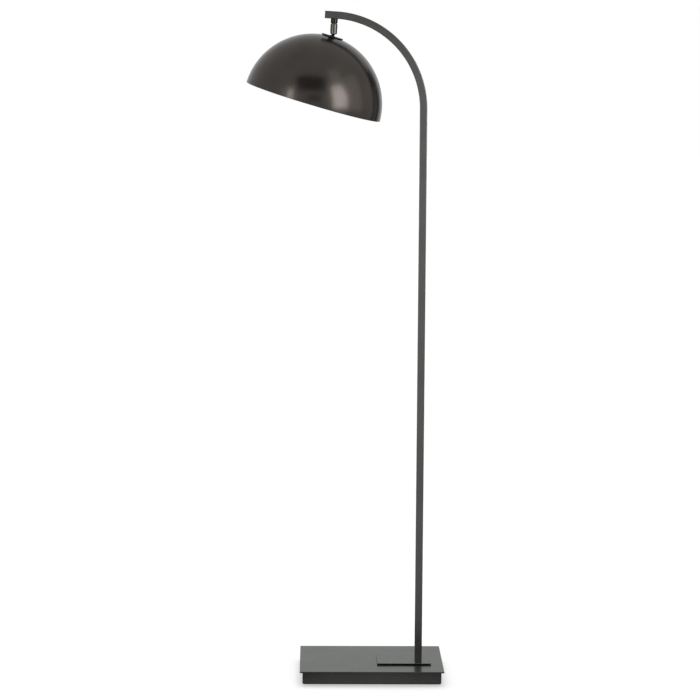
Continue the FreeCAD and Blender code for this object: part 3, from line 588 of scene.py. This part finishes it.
# %% [markdown]
# ### Spun bronze
# The shade is spun: a disc of sheet pressed over a turning wooden former. The tool leaves very
# fine rings round the axis, which the dark bronze finish softens but doesn't hide. The rings are
# a relief that depends on the distance round the dome only, so the pattern is made from the
# height along the shade's own axis, broken up by a little noise.

# %% Spun bronze
def spun_bronze():
    material, tree, surface = shader("spun_bronze")
    point = object_point(tree)
    mottle = clouds(tree, point, 0.045, 4.0)
    colour = two_tones(tree, mottle, (0.045, 0.040, 0.036), (0.055, 0.048, 0.043))
    tree.links.new(colour, surface.inputs["Base Color"])
    surface.inputs["Metallic"].default_value = 0.92
    surface.inputs["Specular Tint"].default_value = (0.8, 0.8, 0.8, 1)
    gloss = clouds(tree, point, 0.03, 5.0, 0.6)
    tree.links.new(between(tree, gloss, 0.20, 0.26), surface.inputs["Roughness"])
    rings = clouds(tree, object_point(tree, SHADE, (0.02, 0.02, 1.0)), 0.0011, 3.0, 0.6)
    spun = relief(tree, surface, rings, 0.0000025)
    relief(tree, surface, clouds(tree, point, 0.0012, 2.0), 0.000002, spun)
    return material


# %% [markdown]
# ### Black nickel, dark bronze and satin black
# The barrel of the swivel is polished under black nickel: a dark mirror that shows each softbox
# as a thin bright line. The collar over it is a dark bronze, and the disc, ball and neck are
# blacker and duller still.

# %% Swivel finishes
def turned_plating(name, first, second, gloss):
    """Plated metal that was turned, with fine tool lines round the swivel's axis."""
    material, tree, surface = shader(name)
    colour = two_tones(tree, clouds(tree, object_point(tree), 0.006), first, second)
    tree.links.new(colour, surface.inputs["Base Color"])
    surface.inputs["Metallic"].default_value = 1.0
    surface.inputs["Specular Tint"].default_value = (0.2, 0.2, 0.2, 1)
    lines = clouds(tree, object_point(tree, SWIVEL, (0.05, 0.05, 1.0)), 0.0003, 2.0)
    tree.links.new(between(tree, lines, *gloss), surface.inputs["Roughness"])
    relief(tree, surface, lines, 0.0000015)
    return material


def satin_black():
    material, tree, surface = shader("satin_black")
    point = object_point(tree)
    smudge = clouds(tree, point, 0.01)
    colour = two_tones(tree, smudge, (0.006, 0.006, 0.006), (0.011, 0.010, 0.010))
    tree.links.new(colour, surface.inputs["Base Color"])
    surface.inputs["IOR"].default_value = 1.35
    gloss = clouds(tree, point, 0.004)
    tree.links.new(between(tree, gloss, 0.34, 0.44), surface.inputs["Roughness"])
    relief(tree, surface, clouds(tree, point, 0.0007), 0.000004)
    return material


GUNMETAL = gunmetal()
BRONZE = spun_bronze()
NICKEL = turned_plating("black_nickel", (0.060, 0.060, 0.057), (0.078, 0.078, 0.074), (0.12, 0.20))
DARK_BRONZE = turned_plating("dark_bronze", (0.017, 0.015, 0.014), (0.025, 0.022, 0.020),
                             (0.16, 0.24))
BLACK = satin_black()

# %% [markdown]
# ## The base
# The top is one 3 mm steel plate that overhangs a folded plinth, so a thin line of shadow runs
# under its lip. A second, much thinner plate stands over it on a recessed spacer, and the pole
# stands on that. The gap is about two millimetres, but it draws the one hard black line in the
# picture. Each plate's size is read from its solid, and its edge gets a fine rounding.

# %% Plates
def span(node):
    """Width, depth, lowest, highest, and the middle in X and Y of a solid."""
    low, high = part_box(node)
    size, middle = high - low, (high + low) / 2
    return size.x, size.y, low.z, high.z, middle.x, middle.y


def plate_from(node, name, corner, ease, material, slot, ease_low=0.0):
    width, depth, low, high, x, y = span(node)
    piece = flat_plate(name, width, depth, low, high, corner, ease, x, y, ease_low)
    return dress(piece, "stand", material, slot, node)


plate_from("base_top_plate", "base_top", 1.5 * MM, 0.5 * MM, GUNMETAL, "bronze_paint", 0.3 * MM)
plate_from("foot_plate", "foot_top", 1.2 * MM, 0.35 * MM, GUNMETAL, "bronze_paint", 0.2 * MM)
# The spacer is painted satin black, a painted shade that deepens the gap under the foot plate into a black line.
plate_from("foot_spacer", "foot_riser", 1.0 * MM, 0.1 * MM, BLACK, "black_paint")

# %% [markdown]
# ## The bent tube
# Pole and arm are one 16 mm square tube, bent round a former. Bending can't leave a kink, so
# the sides stay flat and the two edges run on round the curve. The mesh is the tube's section,
# carried along that path. The section has rounded corners outside and tight ones inside, and
# the two skins are joined at both ends, so the tube is really hollow.

# %% Measure the tube
tube_points = [v.co for v in nodes["pole_tube"].data.vertices]
low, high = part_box("pole_tube")
TUBE = high.y - low.y
pole_x, pole_y = high.x - TUBE / 2, (high.y + low.y) / 2
foot_z = low.z
bend_z = max(p.z for p in tube_points if p.x > high.x - 1e-5)
arm_up = swivel_axis
arm_way = Vector((-arm_up.z, 0, arm_up.x))
arm_top = max(p.dot(arm_up) for p in tube_points)
bend_radius = (arm_top - TUBE / 2 - pole_x * arm_up.x - bend_z * arm_up.z) / (1 - arm_up.x)
bend_middle = Vector((pole_x - bend_radius, pole_y, bend_z))
bend_angle = acos(arm_up.x)
arm_tip = max(p.dot(arm_way) for p in tube_points) - bend_middle.dot(arm_way)
print("bend: radius %.1f mm through %.1f degrees" % (bend_radius / MM, bend_angle / radians(1)))
print("straight end of the arm: %.1f mm" % (arm_tip / MM))

# %% Carry the section along the path
TUBE_CORNER = 1.6 * MM
TUBE_WALL = 1.5 * MM
BEND_STEPS = 120


def tube_stations():
    """Centre and outward direction of the tube, from its foot to the arm's tip."""
    yield Vector((pole_x, pole_y, foot_z)), Vector((1, 0, 0))
    for k in range(BEND_STEPS + 1):
        angle = bend_angle * k / BEND_STEPS
        outward = Vector((cos(angle), 0, sin(angle)))
        yield bend_middle + outward * bend_radius, outward
    yield bend_middle + arm_up * bend_radius + arm_way * arm_tip, arm_up


def section_rings(width, corner):
    outline = rounded_rectangle(width, width, corner)
    return [[centre + outward * p.x + Vector((0, p.y, 0)) for p in outline]
            for centre, outward in tube_stations()]


outside = section_rings(TUBE, TUBE_CORNER)
inside = section_rings(TUBE - 2 * TUBE_WALL, 0.4 * MM)
tube = skinned("bent_tube", outside + inside[::-1], UPRIGHT, joined_ends=True)
dress(tube, "stand", GUNMETAL, "bronze_paint", "pole_tube")

# %% [markdown]
# The arm's end is closed with a plate pushed into the tube and ground flush. Only a hairline
# shows where it goes in, so its edge is eased a little.

# %% Arm end
CAP_LENGTH = 6 * MM
cap_foot = bend_middle + arm_up * bend_radius + arm_way * (arm_tip - CAP_LENGTH)
cap_place = place(cap_foot, arm_way, (0, 1, 0))
cap_width = TUBE - 2 * TUBE_WALL - 0.1 * MM
EASE = 0.25 * MM
rings = []
for inset, height in [(EASE, 0), (0, EASE), (0, CAP_LENGTH - EASE), (EASE, CAP_LENGTH)]:
    outline = rounded_rectangle(cap_width - 2 * inset, cap_width - 2 * inset, 0.5 * MM)
    rings.append([(p.x, p.y, height) for p in outline])
dress(skinned("arm_cap", rings, cap_place), "stand", GUNMETAL, "bronze_paint", "arm_end_cap")

# %% [markdown]
# ## The swivel
# A fixed collar hangs under the arm. Below it a groove shows the edge of a friction washer, and
# below that the barrel turns. The barrel holds the ball, and a notch in its rim lets the ball's
# neck swing out sideways. The polished rounds are small, but their bright edge lines are among
# the sharpest things in the photograph, so the chamfers are real.

# %% Collar and barrel
COLLAR_CHAMFER = 0.6 * MM
BARREL_CHAMFERS = 0.9 * MM, 0.5 * MM
COLLAR_BORE = 4.05 * MM
SEAT_STEPS = 8

radius, low_z, high_z = reach("swivel_collar", SWIVEL)
outline = [(COLLAR_BORE, low_z), (radius - COLLAR_CHAMFER, low_z),
           (radius, low_z + COLLAR_CHAMFER), (radius, high_z), (COLLAR_BORE, high_z)]
dress(turned("collar", outline, SWIVEL), "stand", DARK_BRONZE, "swivel_metal", "swivel_collar")

radius, low_z, high_z = reach("swivel_barrel", SWIVEL)
bore = reach("barrel_cap", SWIVEL)[0] + 0.02 * MM
below, over = BARREL_CHAMFERS
outline = [(bore, 0), (bore, high_z), (radius - over, high_z), (radius, high_z - over),
           (radius, low_z + below), (radius - below, low_z)]
mouth_r = sqrt(bore ** 2 - low_z ** 2)
outline.append((mouth_r, low_z))
for k in range(1, SEAT_STEPS):
    angle = (1 - k / SEAT_STEPS) * acos(mouth_r / bore)
    outline.append((bore * cos(angle), -bore * sin(angle)))
barrel = turned("barrel_body", outline, SWIVEL)

# %% Notch for the neck
NOTCH_HALF = 3.9 * MM
NOTCH_TOP = -0.6 * MM
NOTCH_REACH = 9 * MM
NOTCH_TALL = 20 * MM
cutter_mesh = bpy.data.meshes.new("notch")
cutter = bpy.data.objects.new("notch", cutter_mesh)
bm = bmesh.new()
bmesh.ops.create_cube(bm, size=1.0)
for v in bm.verts:
    v.co = Vector(((v.co.x - 0.5) * NOTCH_REACH, v.co.y * 2 * NOTCH_HALF,
                   (v.co.z - 0.5) * NOTCH_TALL + NOTCH_TOP))
bm.to_mesh(cutter_mesh)
bm.free()
cutter_mesh.transform(SWIVEL)
bpy.context.scene.collection.objects.link(cutter)
cut = barrel.modifiers.new("notch", "BOOLEAN")
cut.object = cutter
cut.solver = "EXACT"
barrel.modifiers.move(len(barrel.modifiers) - 1, 0)
bpy.context.view_layer.update()
whole = bpy.data.meshes.new_from_object(barrel.evaluated_get(bpy.context.evaluated_depsgraph_get()))
barrel.modifiers.remove(cut)
barrel.data = whole
bpy.data.objects.remove(cutter)
dress(barrel, "barrel", NICKEL, "swivel_metal", "swivel_barrel")

# %% [markdown]
# The ball, its neck, the cone shoulder and the hollow stem are one turned part. Half of the ball
# is hidden in the barrel. The disc is clamped between the shoulder and the shade, and stands a
# little proud of the dome's curve all round.

# %% Ball stud and disc
BALL_R = 6 * MM
BALL_STEPS = 32
NECK_R = 3.5 * MM
STEM_R = 5 * MM
STEM_BORE = 2.2 * MM
SHOULDER_R = 7 * MM
SHOULDER_RISE = 1.6 * MM

disc_r, disc_low, disc_top = reach("crown_disc", SHADE)
stem_low = reach("ball_stud", SHADE)[1]
outline = [(STEM_BORE, stem_low), (STEM_BORE, 2.8 * MM)]
first = pi / 2 - acos(0.55)
last = pi - (pi / 2 - acos(NECK_R / BALL_R))
for k in range(BALL_STEPS + 1):
    angle = first + (last - first) * k / BALL_STEPS
    outline.append((BALL_R * sin(angle), BALL_R * cos(angle)))
outline += eased([(NECK_R, outline[-1][1] - 0.01 * MM),
                  (NECK_R, disc_top + SHOULDER_RISE, 0.5 * MM),
                  (SHOULDER_R, disc_top + 0.3 * MM, 0.2 * MM), (SHOULDER_R, disc_top),
                  (STEM_R, disc_top), (STEM_R, stem_low)])
dress(turned("ball_and_neck", outline, SHADE), "shade_head", BLACK, "swivel_metal", "ball_stud")

hole = STEM_R + 0.2 * MM
outline = eased([(hole, disc_low), (disc_r, disc_low, 0.3 * MM),
                 (disc_r, disc_top, 0.5 * MM), (hole, disc_top)])
dress(turned("disc", outline, SHADE), "shade_head", BLACK, "swivel_metal", "crown_disc")

# %% [markdown]
# ## The shade
# The dome is almost a half sphere, with a small flat on its crown for the disc. Three measured
# points of the solid give the sphere: its widest radius, its rim, and the edge of the flat. The
# rim is folded inwards into a narrow hem, because the raw edge of a 1.2 mm sheet would be sharp
# and weak. Folding leaves it round below, so both of the hem's lower corners are eased.

# %% Find the sphere
rim_r, rim_z, crown_z = reach("shade", SHADE)
to_shade = SHADE.inverted()
shade_points = [to_shade @ v.co for v in nodes["shade"].data.vertices]
crown_flat = max(sqrt(p.x ** 2 + p.y ** 2) for p in shade_points if p.z > crown_z - 1e-5)
crown_under = min(p.z for p in shade_points if p.x ** 2 + p.y ** 2 < (disc_r / 3) ** 2)
centre_z = (rim_r ** 2 + rim_z ** 2 - crown_flat ** 2 - crown_z ** 2) / (2 * (rim_z - crown_z))
dome_r = sqrt(crown_flat ** 2 + (crown_z - centre_z) ** 2)
wall = crown_z - crown_under
print("dome radius %.2f mm, wall %.2f mm, middle %.1f mm below the ball" % (
    dome_r / MM, wall / MM, -centre_z / MM))

# %% Spin the dome
DOME_STEPS = 72
HEM = 4 * MM


def on_dome(radius, z):
    return sqrt(radius ** 2 - (z - centre_z) ** 2), z


def dome_curve(radius, z_from, z_to):
    """Points along a sphere of this radius, from one height to another."""
    first = acos((z_from - centre_z) / radius)
    last = acos((z_to - centre_z) / radius)
    for k in range(DOME_STEPS + 1):
        angle = first + (last - first) * k / DOME_STEPS
        yield radius * sin(angle), centre_z + radius * cos(angle)


fold = 1.0 * MM
inner_r, hem_r = dome_r - wall, dome_r - 2 * wall
outline = [(hole, crown_z)] + list(dome_curve(dome_r, crown_z, rim_z + fold))
turn = eased([on_dome(dome_r, rim_z + 1.5 * fold), (*on_dome(dome_r, rim_z), fold),
              (*on_dome(hem_r, rim_z), fold), on_dome(hem_r, rim_z + 1.5 * fold)], 6)
outline += [tuple(p) for p in turn[1:-1]]
outline += [on_dome(hem_r, rim_z + HEM - 0.4 * MM), on_dome(hem_r + 0.3 * MM, rim_z + HEM),
            on_dome(inner_r, rim_z + HEM)]
outline += list(dome_curve(inner_r, rim_z + HEM, crown_under))[1:] + [(hole, crown_under)]
dress(turned("dome", outline, SHADE, 256), "shade_head", BRONZE, "shade_metal", "shade")

# %% [markdown]
# ## Bits that only show from other sides
# The felt under the base is a cut sheet of cloth, glued to the cover. The plinth's solid is
# already right, with the cord inlet's hole in its back, so it stays and takes the lacquer.

# %% Simple finishes
def simple_finish(name, first, second, patch, metallic, gloss, grain, depth):
    """Two near tones, a gloss that varies between two values, and a fine grain."""
    material, tree, surface = shader(name)
    point = object_point(tree)
    colour = two_tones(tree, clouds(tree, point, patch), first, second)
    tree.links.new(colour, surface.inputs["Base Color"])
    surface.inputs["Metallic"].default_value = metallic
    wandering = between(tree, clouds(tree, point, patch / 3), *gloss)
    tree.links.new(wandering, surface.inputs["Roughness"])
    relief(tree, surface, clouds(tree, point, grain), depth)
    return material


FINISHES = {
    "plated_steel": simple_finish("zinc_plate", (0.42, 0.43, 0.44), (0.55, 0.55, 0.53), 0.006,
                                  1.0, (0.30, 0.42), 0.0006, 0.000006),
    "iron": simple_finish("cast_iron", (0.018, 0.018, 0.018), (0.034, 0.033, 0.031), 0.02,
                          0.0, (0.6, 0.8), 0.0014, 0.00012),
    "bronze_paint": GUNMETAL,
    "black_paint": BLACK,
    "swivel_metal": BLACK,
    "shade_metal": BRONZE,
    "black_plastic": simple_finish("black_plastic", (0.016, 0.016, 0.017), (0.026, 0.026, 0.027),
                                   0.01, 0.0, (0.42, 0.55), 0.0005, 0.00002),
    "ivory_plastic": simple_finish("ivory_plastic", (0.70, 0.66, 0.55), (0.76, 0.73, 0.63), 0.01,
                                   0.0, (0.35, 0.5), 0.0006, 0.00001),
    "nylon": simple_finish("dark_nylon", (0.020, 0.020, 0.020), (0.034, 0.033, 0.032), 0.005,
                           0.0, (0.45, 0.6), 0.0004, 0.00001),
    "lead_sheath": simple_finish("lead_sheath", (0.60, 0.59, 0.55), (0.68, 0.67, 0.63), 0.02,
                                 0.0, (0.4, 0.5), 0.0008, 0.00001),
    "brass": simple_finish("brass", (0.56, 0.40, 0.17), (0.68, 0.50, 0.24), 0.009,
                           1.0, (0.24, 0.36), 0.0007, 0.000008),
    "bulb_metal": simple_finish("bulb_aluminium", (0.62, 0.62, 0.61), (0.72, 0.72, 0.71), 0.008,
                                1.0, (0.28, 0.4), 0.0008, 0.000008),
    "bulb_glass": simple_finish("black_glass", (0.010, 0.010, 0.012), (0.018, 0.018, 0.020), 0.004,
                                0.0, (0.06, 0.12), 0.001, 0.000004),
    "bulb_white": simple_finish("white_moulding", (0.70, 0.70, 0.69), (0.76, 0.76, 0.74), 0.02,
                                0.0, (0.25, 0.35), 0.001, 0.00001),
    "bulb_opal": simple_finish("opal_diffuser", (0.76, 0.76, 0.73), (0.81, 0.81, 0.79), 0.02,
                               0.0, (0.35, 0.45), 0.0009, 0.000006),
}

# %% [markdown]
# ### Felt
# The base stands on a sheet of black wool felt, cut 2 mm smaller than the plinth all round so that it never shows
# from above. It is cloth.

# %% Felt
FELT_CORNER = 3 * MM


def wool_felt():
    material, tree, surface = shader("wool_felt")
    point = object_point(tree)
    fibres = clouds(tree, point, 0.0009, 4.0, 0.75)
    tree.links.new(two_tones(tree, fibres, (0.007, 0.007, 0.008), (0.022, 0.022, 0.023)),
                   surface.inputs["Base Color"])
    worn = clouds(tree, point, 0.01)
    tree.links.new(between(tree, worn, 0.85, 0.97), surface.inputs["Roughness"])
    surface.inputs["Sheen Weight"].default_value = 0.15
    relief(tree, surface, fibres, 0.00035)
    return material


width, depth, low_z, high_z, x, y = span("felt_pad")
felt = flat_plate("felt_sheet", width, depth, low_z, high_z, FELT_CORNER, 0.4 * MM, x, y, 0.3 * MM)
dress(felt, "stand", wool_felt(), "felt", "felt_pad")

# %% [markdown]
# ## Inside the shade
# Looked at from below, a bulb hangs in the middle, screwed into a brass lamp holder. The holder
# hangs from the stud's stem. Its cap flares out like a bell, the shell below has one rolled bead
# for stiffness, and the switch is a fluted knob that turns on the side.

# %% Lamp holder
shell_r, shell_low, shell_high = reach("holder_shell", SHADE)
cap_r, cap_low, cap_high = reach("holder_cap", SHADE)
BEAD = 0.7 * MM
SHELL_WALL = 0.7 * MM
tube_r = shell_r - BEAD
bead_z = shell_low + 6.5 * MM
stem_hole = STEM_R + 0.05 * MM

outline = eased([
    (stem_hole, cap_high, 0), (7.4 * MM, cap_high, 0.3 * MM),
    (7.8 * MM, cap_high - 5.0 * MM, 2.0 * MM),
    (cap_r, cap_high - 12.6 * MM, 2.5 * MM), (cap_r, cap_low, 0.2 * MM),
    (cap_r - 0.8 * MM, cap_low, 0.2 * MM), (cap_r - 0.8 * MM, cap_high - 12.9 * MM, 2.0 * MM),
    (7.0 * MM, cap_high - 6.2 * MM, 1.5 * MM), (stem_hole, cap_high - 6.2 * MM, 0)], 6)
holder_top = turned("holder_bell", outline, SHADE)

outline = eased([
    (tube_r, shell_high, 0.2 * MM), (tube_r, bead_z + 1.6 * MM, 0.5 * MM),
    (shell_r, bead_z + 0.5 * MM, 0.6 * MM), (shell_r, bead_z - 0.5 * MM, 0.6 * MM),
    (tube_r, bead_z - 1.6 * MM, 0.5 * MM),
    (tube_r, shell_low, 0.25 * MM), (tube_r - SHELL_WALL, shell_low, 0.25 * MM),
    (tube_r - SHELL_WALL, shell_high, 0.2 * MM)], 5)
holder_shell = turned("holder_tube", outline, SHADE)
dress(holder_top, "shade_head", FINISHES["brass"], "brass", "holder_cap")
dress(holder_shell, "shade_head", FINISHES["brass"], "brass", "holder_shell")

# %% Switch knob
FLUTES = 12
POINTS_A_FLUTE = 12
FLUTE_DEPTH = 0.22 * MM
knob_joint = joints["switch_turn"]
KNOB = place(knob_joint["pos_m"], knob_joint["axis"], shade_axis)
knob_r, knob_near, knob_far = reach("switch_knob", KNOB)
KNOB_EASE = 0.8 * MM
knob_profile = [(0.3 * MM, knob_near), (0, knob_near + 0.4 * MM)]
for degrees in range(0, 91, 15):
    t = radians(degrees)
    knob_profile.append((KNOB_EASE * (1 - cos(t)), knob_far - KNOB_EASE * (1 - sin(t))))
rings = []
for inset, height in knob_profile:
    ring_points = []
    for k in range(FLUTES * POINTS_A_FLUTE):
        turn_angle = 2 * pi * k / (FLUTES * POINTS_A_FLUTE)
        scallop = abs(cos(FLUTES * turn_angle / 2)) ** 6 * 2 * FLUTE_DEPTH
        r = knob_r - inset - scallop
        ring_points.append((r * cos(turn_angle), r * sin(turn_angle), height))
    rings.append(ring_points)
dress(skinned("knob", rings, KNOB), "switch_knob", FINISHES["black_plastic"],
      "black_plastic", "switch_knob")

# %% [markdown]
# The bulb is an LED globe: a screw cap with four rolled threads, a smooth white body that
# carries the electronics, and an opal ball. No light comes from the shade in the photograph, so
# the bulb stays off.

# %% Bulb
bulb_r, bulb_low, seam_z = reach("bulb_diffuser", SHADE)
bulb_z = bulb_low + bulb_r
DIFFUSER_WALL = 1.2 * MM
GLOBE_STEPS = 48
steps_out, steps_back = range(GLOBE_STEPS + 1), range(GLOBE_STEPS, -1, -1)
outline = []
for radius, steps in ((bulb_r, steps_out), (bulb_r - DIFFUSER_WALL, steps_back)):
    edge = acos((seam_z - bulb_z) / radius)
    for k in steps:
        angle = edge + (pi - edge) * (1 - k / GLOBE_STEPS)
        outline.append((radius * sin(angle), bulb_z + radius * cos(angle)))
dress(turned("bulb_globe", outline, SHADE), "shade_head", FINISHES["bulb_opal"],
      "bulb_opal", "bulb_diffuser")

# %% [markdown]
# ## Everything else
# The weight, nuts, leads and contacts are hidden in the base, the pole and the holder. Their
# solids stay as they are, and each takes the finish of its own material, so that the lamp is
# right when it is taken apart as well.

# %% Finish on every solid that stays
for part in record["subparts"]:
    solid = nodes[part["node"]]
    solid.data.materials.clear()
    solid.data.materials.append(FINISHES.get(part["material_slot"], BLACK))
print("%d solids finished" % len(record["subparts"]))
